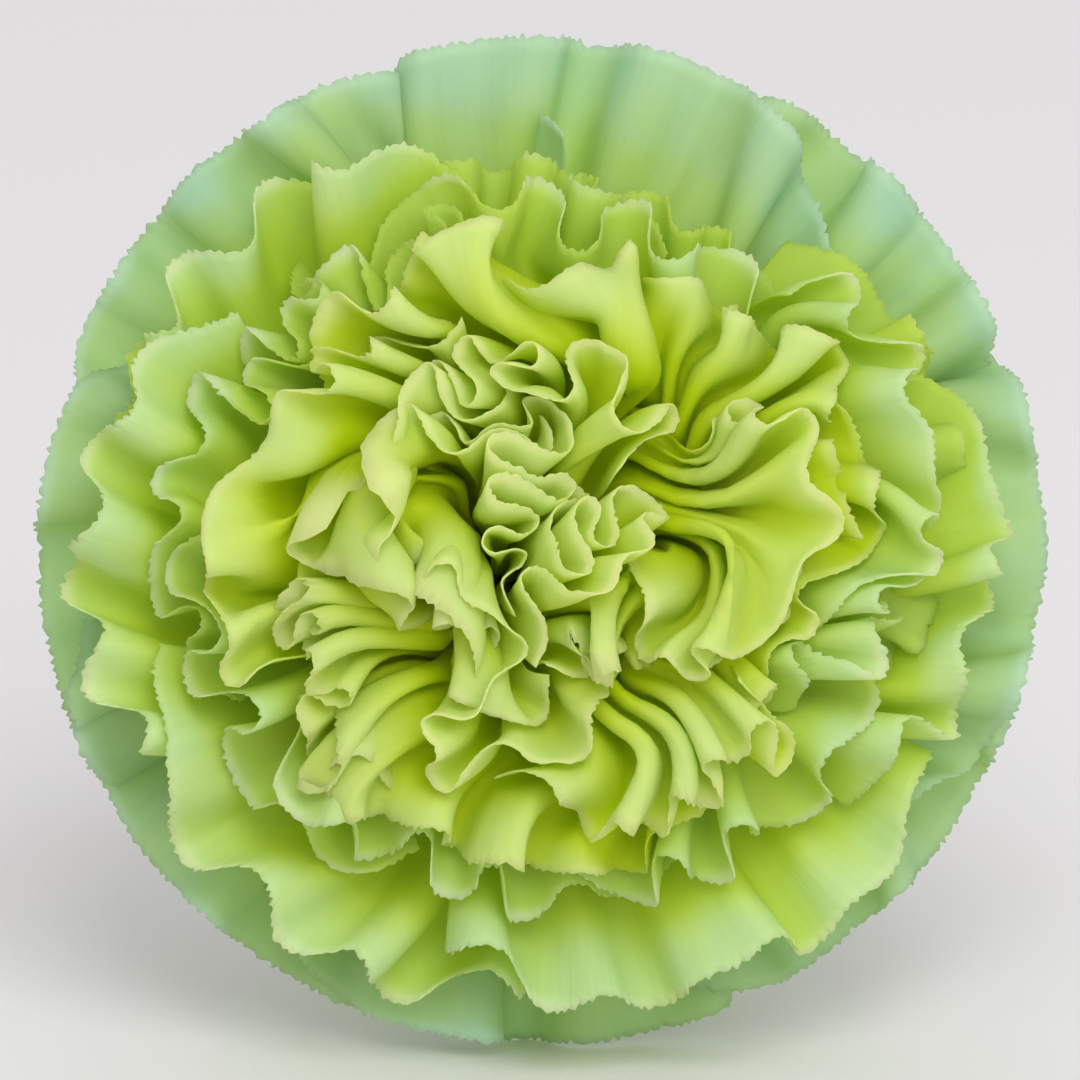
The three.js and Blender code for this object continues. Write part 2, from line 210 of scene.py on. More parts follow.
def softbox(name, place_at, size, energy):
    """A square soft lamp that is turned towards the calyx's mouth."""
    lamp = bpy.data.objects.new(name, bpy.data.lights.new(name, "AREA"))
    lamp.data.size = size
    lamp.data.energy = energy
    lamp.location = place_at
    towards = Vector(mouth) - lamp.location
    lamp.rotation_euler = towards.to_track_quat("-Z", "Y").to_euler()
    bpy.context.collection.objects.link(lamp)


softbox("key_lamp", **KEY_LAMP)
softbox("fill_lamp", **FILL_LAMP)

# ---------- Stem ----------
# One round green stem with a pale waxy bloom. It strays a little sideways, swells at the two joints
# that carry leaves, and was cut straight across at its lower end.
STEM_RADIUS = 2.3
STEM_TAPER = 0.86
STEM_BOW = 3.0
SWELL = 0.9
SWELL_REACH = 2.6
UPPER_JOINT = 42.0
LOWER_JOINT = 98.0
STEM_STATIONS = 240
STEM_SIDES = 40
PAPERY_EDGE = (0.62, 0.72, 0.42)
EDGE_SHARE = 0.6
VEIN_SHARE = 0.3
VEINS_LIGHTER = 1.35

stem_levels = np.array([v.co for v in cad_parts["stem"].data.vertices]) - mouth
stem_top = (stem_levels @ axis).max() / MM
stem_length = stem_top - (stem_levels @ axis).min() / MM


def waxy_green(deep, pale, veins, edge=None):
    """The colour of a stem, leaf or sepal: green under a pale waxy bloom, with fine long veins and,
    if there is one, a thin papery edge. veins and edge are functions of a start wire."""

    def colour(start):
        patches = start.noise(here(start), scale=90.0)
        specks = start.noise(here(start), scale=900.0)
        green = (0.7 * patches + 0.3 * specks).blend(deep, pale)
        green = (VEIN_SHARE * veins(start)).blend(green, [c * VEINS_LIGHTER for c in pale])
        return (EDGE_SHARE * edge(start)).blend(green, PAPERY_EDGE) if edge else green

    return colour


def waxy_roughness(least, scale=350.0):
    """A smooth wax layer that is a little uneven."""
    return lambda start: least + 0.2 * start.noise(here(start), scale, 4.0)


def no_lines(start):
    return start.noise(here(start), scale=700.0, detail=3.0)


stem_material = finish_material(
    "waxy_stem",
    waxy_green((0.115, 0.235, 0.065), (0.22, 0.37, 0.16), no_lines),
    waxy_roughness(0.42),
    lambda start: (start.noise(here(start), scale=1400.0, detail=4.0), 0.25, 0.0002),
)


def stem_tree():
    """Geometry nodes that sweep a round section down the stem's axis, with its sizes as inputs."""
    tree = bpy.data.node_groups.new("stem_along_its_axis", "GeometryNodeTree")
    ask = tree.interface.new_socket
    ask("Geometry", in_out="OUTPUT", socket_type="NodeSocketGeometry")
    sizes = {
        "Length": stem_length * MM,
        "Radius": STEM_RADIUS * MM,
        "Taper": STEM_TAPER,
        "Bow": STEM_BOW * MM,
        "Swell": SWELL * MM,
        "Swell reach": SWELL_REACH * MM,
        "Upper joint": UPPER_JOINT * MM,
        "Lower joint": LOWER_JOINT * MM,
    }
    for name, value in sizes.items():
        ask(name, in_out="INPUT", socket_type="NodeSocketFloat").default_value = value
    start = Wire(tree)
    group = start.node("NodeGroupInput").socket.node
    size = {name: Wire(tree, group.outputs[name]) for name in sizes}
    along = start.node("GeometryNodeSplineParameter")
    down = start.node("ShaderNodeCombineXYZ", {}, {2: 0.0 - size["Length"]})
    line = start.node("GeometryNodeCurvePrimitiveLine", {}, {"End": down})
    line = start.node("GeometryNodeResampleCurve", {}, {"Curve": line, "Count": STEM_STATIONS})
    stray = size["Bow"] * start.maths("SINE", along * np.pi)
    offset = start.node("ShaderNodeCombineXYZ", {}, {0: stray})
    line = start.node("GeometryNodeSetPosition", {}, {"Geometry": line, "Offset": offset})
    radius = size["Radius"] * (size["Taper"] + (1.0 - size["Taper"]) * along)
    for joint in ("Upper joint", "Lower joint"):
        away = (along * size["Length"] - size[joint]) / size["Swell reach"]
        radius = radius + size["Swell"] * start.maths("EXPONENT", 0.0 - away * away)
    inputs = {"Resolution": STEM_SIDES, "Radius": 1.0}
    ring = start.node("GeometryNodeCurvePrimitiveCircle", {}, inputs)
    inputs = {"Curve": line, "Profile Curve": ring, "Scale": radius, "Fill Caps": True}
    solid = start.node("GeometryNodeCurveToMesh", {}, inputs)
    solid = start.node("GeometryNodeRealizeInstances", {}, {"Geometry": solid})
    inputs = {"Geometry": solid, "Material": stem_material}
    solid = start.node("GeometryNodeSetMaterial", {}, inputs)
    start.node("NodeGroupOutput", {}, {"Geometry": solid})
    return tree


def grown(name, tree, settle):
    """Runs a geometry tree and gives its result as a plain mesh object, moved by settle."""
    blank = bpy.data.objects.new(name, bpy.data.meshes.new(name))
    bpy.context.collection.objects.link(blank)
    blank.modifiers.new(name, "NODES").node_group = tree
    evaluated = blank.evaluated_get(bpy.context.evaluated_depsgraph_get())
    mesh = bpy.data.meshes.new_from_object(evaluated)
    bpy.data.objects.remove(blank)
    mesh.name = name
    points = np.array([v.co for v in mesh.vertices])
    points = settle(points)
    points[:, 2] = np.maximum(points[:, 2], 0)
    mesh.vertices.foreach_set("co", points.ravel())
    mesh.shade_smooth()
    mesh.update()
    made = bpy.data.objects.new(name, mesh)
    bpy.context.collection.objects.link(made)
    return made


stem = grown("green_stem", stem_tree(), lambda points: place(points / MM + [0, 0, stem_top]))
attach(stem, "root")
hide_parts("stem")

# ---------- Leaves ----------
# Two opposite pairs of narrow leaves, grey green with a waxy bloom and fine veins that run their
# whole length. Each foot wraps half of a joint as a sheath, and each blade is folded along its
# middle and curls back. The lower pair lies at the sides and droops onto the table.
LEAF_PAIRS = {
    "upper_leaf": dict(below=UPPER_JOINT, azimuth=90, length=38, width=4.6, lean=24, curl=46),
    "lower_leaf": dict(below=LOWER_JOINT, azimuth=0, length=62, width=5.4, lean=16, curl=40),
}
LEAF_THICKNESS = 0.7
LEAF_EDGE = 0.25
LEAF_TAPER = 0.3
LEAF_SWAY = 0.5
LEAF_VEINS = 26
LEAF_COLUMNS = 21
LEAF_ROWS = 150
TIP_POWER = 2.2  # a higher power makes a blunter tip
TIP_LEFT = 0.004
TIP_THINNESS = 0.5
FOOT_THINNESS = 0.35
FULL_LEAN_AT = 0.12  # these three are shares of the length
FLAT_FROM = 0.16
FOOT_REACH = 0.05
DROOP_POWER = 1.6
SHEATH_LENGTH = 5.5
SHEATH_HALF_SPAN = np.radians(76)
SHEATH_GAP = 0.1
SHEATH_RADIUS = STEM_RADIUS + SWELL + SHEATH_GAP + LEAF_THICKNESS / 2
SHEATH_HUGS = 0.8  # how much of its length follows the swollen joint
SHEATH_LIP = 2.0
LEAF_CHANNEL = 0.25
CHANNEL_ROUNDING = 0.02
CHANNEL_DROP = 0.14
BEND_STEPS = 24
TABLE_CLEARANCE = 0.02


def ease(x, low=0.0, high=1.0):
    """0 below low, 1 above high, and smooth between."""
    x = np.clip((x - low) / (high - low), 0, 1)
    return x * x * (3 - 2 * x)


def mix(a, b, t):
    return a + (b - a) * t


def piece(name, points, faces, uv, material, node, slot):
    """One finished piece: a mesh from points on the flower's axes and a UV place for each, which
    rides with the flower and stands for a node of the frame."""
    mesh = bpy.data.meshes.new(name)
    placed = place(points)
    placed[:, 2] = np.maximum(placed[:, 2], TABLE_CLEARANCE * MM)
    mesh.from_pydata(placed.tolist(), [], [list(face) for face in faces])
    layer = mesh.uv_layers.new(name="along")
    corners = np.empty(len(mesh.loops), int)
    mesh.loops.foreach_get("vertex_index", corners)
    layer.data.foreach_set("uv", np.asarray(uv, float)[corners].ravel())
    mesh.materials.append(material)
    mesh.shade_smooth()
    made = bpy.data.objects.new(name, mesh)
    bpy.context.collection.objects.link(made)
    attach(made, "root")
    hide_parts(node)
    return made


def thin_solid(middle, thickness):
    """The points and faces of a closed thin solid about a grid of points, rows along by columns
    across. Its upper face is on the side of across x along."""
    normal = np.cross(np.gradient(middle, axis=1), np.gradient(middle, axis=0))
    normal /= np.linalg.norm(normal, axis=-1, keepdims=True) + 1e-12
    half = normal * (thickness / 2)[..., None]
    points = np.concatenate([(middle + half).reshape(-1, 3), (middle - half).reshape(-1, 3)])
    index = np.arange(middle[..., 0].size).reshape(middle.shape[:2])
    under = index.size
    a, b, c, d = index[:-1, :-1], index[:-1, 1:], index[1:, 1:], index[1:, :-1]
    upper = np.stack([a, b, c, d], -1).reshape(-1, 4)
    lower = np.stack([a, d, c, b], -1).reshape(-1, 4) + under
    rim = np.concatenate([index[0, :-1], index[:-1, -1], index[-1, :0:-1], index[:0:-1, 0]])
    on = np.roll(rim, -1)
    sides = np.stack([rim, rim + under, on + under, on], -1)
    return points, np.concatenate([upper, lower, sides])


def sheet_piece(name, middle, thickness, u, v, material, node, slot):
    """A finished piece about a middle surface, with u and v as its place across and along."""
    points, faces = thin_solid(middle, thickness)
    flat = np.stack([np.broadcast_to(u, thickness.shape), np.broadcast_to(v, thickness.shape)], -1)
    uv = np.concatenate([flat.reshape(-1, 2)] * 2)
    return piece(name, points, faces, uv, material, node, slot)


def across_and_along(start):
    """The place across and along a piece, from its own UV map."""
    place_on_it = start.node("ShaderNodeUVMap", {"uv_map": "along"})
    across = start.node("ShaderNodeSeparateXYZ", {}, {0: place_on_it})
    return across, Wire(start.tree, across.socket.node.outputs[1])


def lines_across(count):
    """Fine lines that run along a piece, side by side across it."""

    def veins(start):
        across, along = across_and_along(start)
        stretched = start.node("ShaderNodeCombineXYZ", {}, {0: across * count, 1: along})
        return (2.0 * (start.noise(stretched, scale=1.0, detail=3.0) - 0.5)).ease(0.0, 1.0)

    return veins


def side_edges(start):
    across, _ = across_and_along(start)
    return start.maths("ABSOLUTE", 2.0 * across - 1.0).ease(0.86, 0.98)


def veined_bump(count, strength=0.3, distance=0.0002, detail=2.0):
    """The relief of long veins with a fine grain over them."""

    def bump(start):
        grain = start.noise(here(start), 1500.0, detail)
        return lines_across(count)(start) + 0.3 * grain, strength, distance

    return bump


leaf_material = finish_material(
    "waxy_leaf",
    waxy_green((0.10, 0.22, 0.08), (0.25, 0.40, 0.25), lines_across(LEAF_VEINS), side_edges),
    waxy_roughness(0.45, 300.0),
    veined_bump(LEAF_VEINS, 0.35, 0.00025, 3.0),
    see_through=((0.25, 0.45, 0.08), 0.15),
)


def leaf_middle(leaf, azimuth, droop, u, v):
    """The middle surface of a leaf, with u from -1 to 1 across it and v from 0 to 1 along."""
    length, width = leaf["length"], leaf["width"]
    out = np.array([np.cos(azimuth), np.sin(azimuth), 0])
    side = np.array([-np.sin(azimuth), np.cos(azimuth), 0])
    below = leaf["below"] + SWELL_REACH
    bow = STEM_BOW * np.sin(np.pi * below / stem_length)
    start = np.array([bow, 0, stem_top - below])
    along = v * (length + SHEATH_LENGTH)
    free = np.maximum(along - SHEATH_LENGTH, 0) / length
    z = np.minimum(along, SHEATH_LENGTH)
    swollen = np.exp(-(((z - SWELL_REACH) / SWELL_REACH) ** 2))
    opened = ease(along, SHEATH_LENGTH * SHEATH_HUGS, SHEATH_LENGTH)
    x = SHEATH_RADIUS - SWELL * (1 - swollen) * (1 - opened)
    x = x - LEAF_THICKNESS / 2 * (1 - ease(along, 0, SHEATH_LIP))
    for n in range(BEND_STEPS):
        part = free * (n + 0.5) / BEND_STEPS
        lean = leaf["lean"] * ease(part, 0, FULL_LEAN_AT)
        angle = np.radians(lean + leaf["curl"] * part * part)
        x = x + free * length / BEND_STEPS * np.sin(angle)
        z = z + free * length / BEND_STEPS * np.cos(angle)
    narrowing = np.sqrt(np.maximum(1 - free**TIP_POWER, TIP_LEFT))
    half = width / 2 * (1 - LEAF_TAPER * free) * narrowing
    wrap = 1 - ease(free, 0, FLAT_FROM)
    q = u * mix(half, SHEATH_HALF_SPAN * SHEATH_RADIUS, wrap)
    angle = q / SHEATH_RADIUS
    fold = LEAF_CHANNEL * 2 * half * (np.sqrt(u * u + CHANNEL_ROUNDING) - CHANNEL_DROP)
    across = mix(q, SHEATH_RADIUS * np.sin(angle), wrap)
    outwards = mix(-fold, SHEATH_RADIUS * (np.cos(angle) - 1), wrap)
    sway = LEAF_SWAY * np.sin(2.2 * np.pi * free + azimuth) * free
    middle = start + (x + outwards)[..., None] * out + (across + sway)[..., None] * side
    middle[..., 1] -= droop * free**DROOP_POWER
    middle[..., 2] += z
    return middle


leaf_u = np.linspace(-1, 1, LEAF_COLUMNS)[None, :]
leaf_v = np.linspace(0, 1, LEAF_ROWS)[:, None]
leaf_grid = leaf_u + 0 * leaf_v
for pair, leaf in LEAF_PAIRS.items():
    for n in range(2):
        azimuth = np.radians(leaf["azimuth"]) + np.pi * n
        tip = leaf_middle(leaf, azimuth, 0.0, np.zeros((1, 1)), np.ones((1, 1)))
        at_the_side = abs(np.cos(azimuth)) > abs(np.sin(azimuth))
        above = place(tip)[0, 0, 2] / MM - LEAF_THICKNESS / 2
        droop = above / upwards[2] if at_the_side else 0.0
        middle = leaf_middle(leaf, azimuth, droop, leaf_grid, leaf_v + 0 * leaf_grid)
        thin = mix(LEAF_THICKNESS, LEAF_EDGE, np.abs(leaf_grid) ** 3)
        thin = thin * mix(1.0, TIP_THINNESS, leaf_v**4)
        thin = thin * mix(FOOT_THINNESS, 1.0, ease(leaf_v, 0, FOOT_REACH))
        name = f"{pair}_{n + 1}"
        across = leaf_u / 2 + 0.5
        sheet_piece(f"blade_{name}", middle, thin, across, leaf_v, leaf_material, name, "leaf")

# ---------- Receptacle and pistil ----------
# The pale inner end of the stem, with the ovary on it and its two thin curled styles. All of it is
# shut in by the claws of the petals.
CLAW_FOOT_ABOVE_RECEPTACLE = 0.35
OVARY_RADIUS = 1.9
OVARY_LENGTH = 12.0
OVARY_WIDEST_AT = 0.45
OVARY_TAPER = 0.25
OVARY_ENDS = 0.06  # keeps its two ends from closing to a point
STYLE_ABOVE_OVARY = 0.35
STYLE_RADIUS = 0.4
STYLE_TAPER = 0.35
STYLE_TOP = 14.0
STYLE_SPREAD = 0.6
DISC_SIDES = 48
STYLE_SIDES = 16

pistil_material = finish_material(
    "pistil",
    lambda start: start.noise(here(start), scale=500.0, detail=3.0).ease(0.3, 0.7).blend(
        (0.42, 0.58, 0.18), (0.62, 0.74, 0.34)
    ),
    lambda start: 0.3 + 0.2 * start.noise(here(start), scale=800.0),
    lambda start: (start.noise(here(start), scale=1800.0, detail=3.0), 0.3, 0.0002),
    see_through=((0.5, 0.7, 0.2), 0.2),
)


def ring_solid(rings):
    """The points, faces and UV places of a closed solid through rings of points, which run
    anticlockwise about the way that the rings advance."""
    rows, columns = rings.shape[:2]
    ends = np.stack([rings[0].mean(0), rings[-1].mean(0)])
    points = np.concatenate([rings.reshape(-1, 3), ends])
    index = np.arange(rows * columns).reshape(rows, columns)
    on = np.roll(index, -1, axis=1)
    sides = np.stack([index[:-1], on[:-1], on[1:], index[1:]], -1).reshape(-1, 4)
    foot, top = len(points) - 2, len(points) - 1
    caps = [(foot, b, a) for a, b in zip(index[0], on[0])]
    caps += [(top, a, b) for a, b in zip(index[-1], on[-1])]
    u, v = np.meshgrid(np.arange(columns) / columns, np.linspace(0, 1, rows))
    uv = np.concatenate([np.stack([u, v], -1).reshape(-1, 2), [[0.5, 0], [0.5, 1]]])
    return points, [*sides.tolist(), *caps], uv


def turned(radii, heights, sides, furrows=0, depth=0.0, path=None):
    """Rings of a turned solid, with furrows along it if wanted, and an axis that may stray."""
    angle = np.linspace(0, 2 * np.pi, sides, endpoint=False)
    radius = radii[:, None] * (1 - depth * np.abs(np.cos(furrows * angle / 2)) ** 6)
    rings = np.stack([radius * np.cos(angle), radius * np.sin(angle)], -1)
    rings = np.concatenate([rings, np.broadcast_to(heights[:, None, None], (*radius.shape, 1))], -1)
    if path is not None:
        rings[..., :2] += path[:, None, :]
    return rings


receptacle_points = np.array([v.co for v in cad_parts["receptacle"].data.vertices]) - mouth
receptacle_levels = receptacle_points @ axis / MM
receptacle_out = receptacle_points - np.outer(receptacle_points @ axis, axis)
receptacle_radius = np.linalg.norm(receptacle_out, axis=1).max() / MM
receptacle_top = receptacle_levels.max()
round_edge = np.array([0.3, 0.8, 0.95, 1.0, 1.0, 0.95, 0.8, 0.3])
edge_levels = np.array([0.0, 0.0, 0.12, 0.3, 0.7, 0.88, 1.0, 1.0])
levels = mix(receptacle_levels.min(), receptacle_top, edge_levels)
rings = turned(receptacle_radius * round_edge, levels, DISC_SIDES)
piece("receptacle_disc", *ring_solid(rings), pistil_material, "receptacle", "pistil")

claw_foot = receptacle_top + CLAW_FOOT_ABOVE_RECEPTACLE
t = np.linspace(0, 1, 40)
ovary_outline = np.sqrt(np.maximum(1 - (2 * (t - OVARY_WIDEST_AT)) ** 4, OVARY_ENDS))
ovary_radii = OVARY_RADIUS * ovary_outline * (1 - OVARY_TAPER * t)
rings = turned(ovary_radii, claw_foot + t * OVARY_LENGTH, DISC_SIDES, furrows=2, depth=0.08)
piece("seed_pod", *ring_solid(rings), pistil_material, "ovary", "pistil")

for n, side in enumerate((-1, 1)):
    heights = mix(claw_foot + OVARY_LENGTH + STYLE_ABOVE_OVARY, STYLE_TOP, t)
    stray = np.stack([side * (STYLE_SPREAD + 0.25 * t * t), side * 0.2 * t * t], -1)
    rings = turned(STYLE_RADIUS * (1 - STYLE_TAPER * t), heights, STYLE_SIDES, path=stray)
    name = f"style_{n + 1}"
    piece(f"thread_{name}", *ring_solid(rings), pistil_material, name, "pistil")

# ---------- Petals ----------
# Thirty-nine soft petals in six rings, each a toothed blade on a narrow claw that the calyx holds.
# The blades of the bud lie on a nest of bowls, bent by swirls. Then they grow: their margins get
# longer than their room, and buckle, resist bending and push each other aside.
RINGS = ["crown_petal", "heart_petal", "inner_petal", "middle_petal", "outer_petal", "guard_petal"]
RING_SLOTS = ["inner_petal"] * 3 + ["outer_petal"] * 2 + ["guard_petal"]
RING_COUNTS = [3, 5, 7, 8, 8, 8]
OUTER_RING = 4
PITCH = 1 / (len(RINGS) - 0.5)  # from one ring's bowl to the next, where the guard's is 1

# The buds by ring. The angles are in degrees, and a pair is the least and the most of a range.
FIRST_AZIMUTH = [80, 20, 0, 30, 20, -90]
BUD_SPAN = [128, 92, 70, 62, 68, 82]
LENGTH_SHARE = [(0.92, 1.02), (0.92, 1.02), (0.92, 1.05), (0.88, 1.06), None, (0.985, 1.02)]
OUTER_LENGTH_SHARE = [0.94, 0.78, 0.86, 0.97, 1.06, 1.04, 1.07, 1.02]
OFF_THE_BOWL = [0.15, 0.15, 0.2, 0.2, 0.25, 0.12]
SIDEWAYS_SWAY = [30, 24, 18, 16, 20, 4]
MARGIN_CURL = [(15, 90), (10, 85), (10, 80), (0, 60), (-40, 50), (-4, 4)]
MARGIN_ROUNDING = [0.13, 0.13, 0.13, 0.13, 0.13, 0.3]

# The grown blades by ring: their width, how much longer still their margin gets, the number and
# height of their first waves, how stiff they are, and how firmly they keep to their bowl.
BLADE_WIDTH = [42, 46, 48, 54, 58, 78]
RUFFLE = [1.8, 1.8, 1.75, 1.55, 1.3, 1.1]
WAVES = [2.6, 2.6, 2.3, 2.0, 1.8, 2.2]
WAVE_HEIGHT = [0.9, 0.9, 1.1, 1.4, 2.4, 2.4]
STIFFNESS = [0.07, 0.07, 0.1, 0.16, 0.16, 0.16]
BOWL_PULL = [0.001, 0.001, 0.0008, 0.0006, 0.0006, 0.0008]

BLOOM_RADIUS = bloom_radius / MM
GUARD_LEAN = 97.0
CROWN_LEAN = 3.0
LEAN_POWER = 0.95
CROWN_BLADE = 32.0
BLADE_POWER = 1.4
GUARD_BEND = 9.0
CROWN_BEND = 20.0
FLARE_SHARE = 0.55
CLAW_WIDTH = 2.1
CROWN_CLAW_RADIUS = 1.35
THROAT_RADIUS = 6.75
TWIST = 0.26
TWIST_SHARE = 0.6
BUD_JITTER = 6.0
# Two sets of swirls: how many, how far from the axis they reach, their size, turn and push.
SWIRL_SETS = [(5, 14.0, 7.0, 1.3, 0.45), (22, 27.0, 5.0, 1.2, 0.55)]
SWIRL_FOOT = 2.0
SWIRL_TOP = 24.0
GOLDEN_ANGLE = 2.39996  # in radians
ACROSS, ALONG = 65, 27  # points of a growing blade
STEPS = 220
MOMENTUM = 0.88
GROWN_AFTER = 0.55  # the share of the steps in which the margins get their full length
SPRING = 0.55
SLANTED_SPRING = 0.25
PINCH_SPRING = 0.4  # keeps points three apart from closing to less than a share of their rest
PINCH_SHARE = 0.65
STIFFNESS_ALONG = 0.25
FOOT_PULL = 0.4
RECENTRE = 0.06
PUSH_APART = 0.35
STEPS_PER_SEARCH = 8
SHEET_AT_FOOT = 0.25  # half of the room that a sheet keeps for itself
SHEET_AT_MARGIN = 0.55
TOUCH = 1.9  # how near two points must be to be watched
FIRST_FREE_ROW = 6  # the rows of points below it are too near the throat to be kept apart
NEAR_ON_SHEET = 5, 4  # points of one blade that are this near across and along aren't watched

chance = np.random.default_rng(11)


def bowl(w, s, curl=0.0, length=40.0):
    """Radius and height at a distance s from the throat along bowl w. The margin of a blade of
    that length curls out by a further angle."""
    steps = 16
    lean = np.radians(mix(CROWN_LEAN, GUARD_LEAN, np.maximum(w, 0) ** LEAN_POWER))
    bend = mix(CROWN_BEND, GUARD_BEND, w)
    radius = mix(CROWN_CLAW_RADIUS, THROAT_RADIUS, w) + 0 * s
    height = 0 * radius
    for n in range(steps):
        part = s * (n + 0.5) / steps
        angle = lean * ease(part / bend) + curl * np.clip(2 * part / length - 1, 0, 1) ** 2
        radius = radius + s / steps * np.sin(angle)
        height = height + s / steps * np.cos(angle)
    return radius, height


guard_bend_radius = bowl(1.0, np.array(GUARD_BEND))[0]
GUARD_BLADE = GUARD_BEND + (BLOOM_RADIUS - guard_bend_radius) / np.sin(np.radians(GUARD_LEAN))

u = np.linspace(-1, 1, ACROSS)[:, None]
v = np.linspace(0, 1, ALONG)[None, :]
buds, first_waves, names, ring_of, azimuths = [], [], [], [], []
for ring, count in enumerate(RING_COUNTS):
    middle_bowl = (ring + 0.5) * PITCH
    for n in range(count):
        azimuth = FIRST_AZIMUTH[ring] + 360 * n / count + chance.uniform(-BUD_JITTER, BUD_JITTER)
        azimuth = np.radians(azimuth)
        span = np.radians(BUD_SPAN[ring] * chance.uniform(0.9, 1.12))
        shift = chance.uniform(-1, 1) * OFF_THE_BOWL[ring] * PITCH
        w = middle_bowl + (TWIST * PITCH * u + shift) * ease(v, 0, TWIST_SHARE)
        blade = mix(CROWN_BLADE, GUARD_BLADE, np.maximum(w, 0) ** BLADE_POWER)
        if ring == OUTER_RING:
            blade = blade * OUTER_LENGTH_SHARE[n]
        else:
            blade = blade * chance.uniform(*LENGTH_SHARE[ring])
        s = v * blade * (1 - MARGIN_ROUNDING[ring] * np.abs(u) ** 5)
        curl = np.radians(chance.uniform(*MARGIN_CURL[ring]))
        radius, height = bowl(w, s, curl, blade)
        claw = CLAW_WIDTH / 2 / mix(CROWN_CLAW_RADIUS, THROAT_RADIUS, middle_bowl)
        angle = azimuth + u * mix(min(claw, span / 2), span / 2, ease(v, 0, FLARE_SHARE))
        angle = angle + np.radians(SIDEWAYS_SWAY[ring]) * chance.uniform(-1, 1) * v**1.5
        buds.append(np.stack([radius * np.cos(angle), radius * np.sin(angle), height], -1))
        waves = WAVES[ring] * chance.uniform(0.75, 1.25)
        turn = chance.uniform(0, 2 * np.pi) + chance.uniform(-0.6, 0.6) * v
        uneven = u + 0.16 * np.sin(2.1 * u + chance.uniform(0, 6.3))
        wave = 1.1 - 1.8 * np.abs(np.sin(np.pi * waves * uneven / 2 + turn)) ** 0.8
        for share, low, high in ((0.5, 0.5, 0.9), (0.25, 1.8, 2.6)):
            finer = WAVES[ring] * chance.uniform(low, high)
            wave = wave + share * np.cos(np.pi * finer * u + chance.uniform(0, 2 * np.pi))
        first_waves.append(WAVE_HEIGHT[ring] * wave * v**1.5)
        names.append(f"{RINGS[ring]}_{n + 1}")
        ring_of.append(ring)
        azimuths.append(azimuth)


def swirl(points, count, reach, size, turn, push):
    """Turns and pushes the flower about several small centres, more at its top than at its foot, so
    that the rings of petals in its middle become loops and bends. Nothing crosses anything."""
    for n in range(count):
        out = reach * np.sqrt((n + 0.7) / count)
        heading = n * GOLDEN_ANGLE + chance.uniform(-0.3, 0.3)
        centre = out * np.array([np.cos(heading), np.sin(heading)])
        angle = turn * (-1) ** n * chance.uniform(0.6, 1.25)
        width = size * chance.uniform(0.8, 1.3)
        way = chance.uniform(0, 2 * np.pi)
        x, y = np.moveaxis(points[..., :2] - centre, -1, 0)
        share = np.exp(-(x * x + y * y) / width**2)
        share = share * ease(points[..., 2], SWIRL_FOOT, SWIRL_TOP)
        cos, sin = np.cos(angle * share), np.sin(angle * share)
        moved = push * width * share
        x, y = cos * x - sin * y + moved * np.cos(way), sin * x + cos * y + moved * np.sin(way)
        points = np.stack([x + centre[0], y + centre[1], points[..., 2]], -1)
    return points


bud = np.array(buds)
for swirls in SWIRL_SETS:
    bud = swirl(bud, *swirls)
bud = bud.astype(np.float32)
ring_of = np.array(ring_of)


def apart(a, b):
    """How far the points of one array are from those of another."""
    return np.sqrt(((a - b) ** 2).sum(-1))


def of_ring(values):
    """One value for each ring, as an array that goes with the points of all blades."""
    return np.array(values, np.float32)[ring_of][:, None, None, None]


def normals(sheet):
    """The unit normals of a grid of points, or of a stack of grids."""
    normal = np.cross(np.gradient(sheet, axis=-3), np.gradient(sheet, axis=-2))
    return normal / (np.linalg.norm(normal, axis=-1, keepdims=True) + 1e-9)


def hold(blades, step_across, step_along, rest, strength, only_push=False):
    """Moves pairs of points of each blade towards their rest distance."""
    rows = slice(max(0, -step_along), ALONG - max(0, step_along))
    further = slice(max(0, step_along), ALONG + min(0, step_along))
    first = blades[:, : ACROSS - step_across, rows]
    second = blades[:, step_across:, further]
    gap = second - first
    length = np.sqrt((gap * gap).sum(-1)) + 1e-9
    excess = (length - rest) / length
    if only_push:
        excess = np.minimum(excess, 0)
    gap *= (0.5 * strength * excess)[..., None]
    first += gap
    second -= gap


def stiffen(blades, amount):
    """Takes some of the bend out of lines of points, which are on the second axis."""
    bend = amount * (0.5 * (blades[:, 2:] + blades[:, :-2]) - blades[:, 1:-1])
    blades[:, 1:-1] += bend
    blades[:, 2:] -= 0.5 * bend
    blades[:, :-2] -= 0.5 * bend


def neighbours(points, reach, same_sheet):
    """Pairs of points that are closer than reach and aren't close on one blade. The points are
    sorted into cubic cells, and each cell is paired with itself and half of those around it."""
    cell = np.floor((points - points.min(0)) / reach).astype(np.int64) + 1
    size = cell.max(0) + 2
    key = (cell[:, 0] * size[1] + cell[:, 1]) * size[2] + cell[:, 2]
    order = np.argsort(key, kind="stable")
    key = key[order]
    around = [np.array(o) - 1 for o in np.ndindex(3, 3, 3)]
    first, second = [], []
    for offset in [o for o in around if tuple(o) >= (0, 0, 0)]:
        wanted = key + (offset[0] * size[1] + offset[1]) * size[2] + offset[2]
        low = np.searchsorted(key, wanted, "left")
        high = np.searchsorted(key, wanted, "right")
        if not offset.any():
            low = np.arange(len(key)) + 1
        count = np.maximum(high - low, 0)
        a = np.repeat(np.arange(len(key)), count)
        b = np.arange(count.sum()) - np.repeat(np.cumsum(count) - count - low, count)
        first.append(order[a])
        second.append(order[b])
    first, second = np.concatenate(first), np.concatenate(second)
    close = ((points[first] - points[second]) ** 2).sum(-1) < reach * reach
    keep = close & ~same_sheet(first, second)
    return first[keep], second[keep]


free = np.arange(bud[..., 0].size).reshape(bud.shape[:3])[:, :, FIRST_FREE_ROW:].ravel()
petal_of, column_of, row_of = np.unravel_index(free, bud.shape[:3])


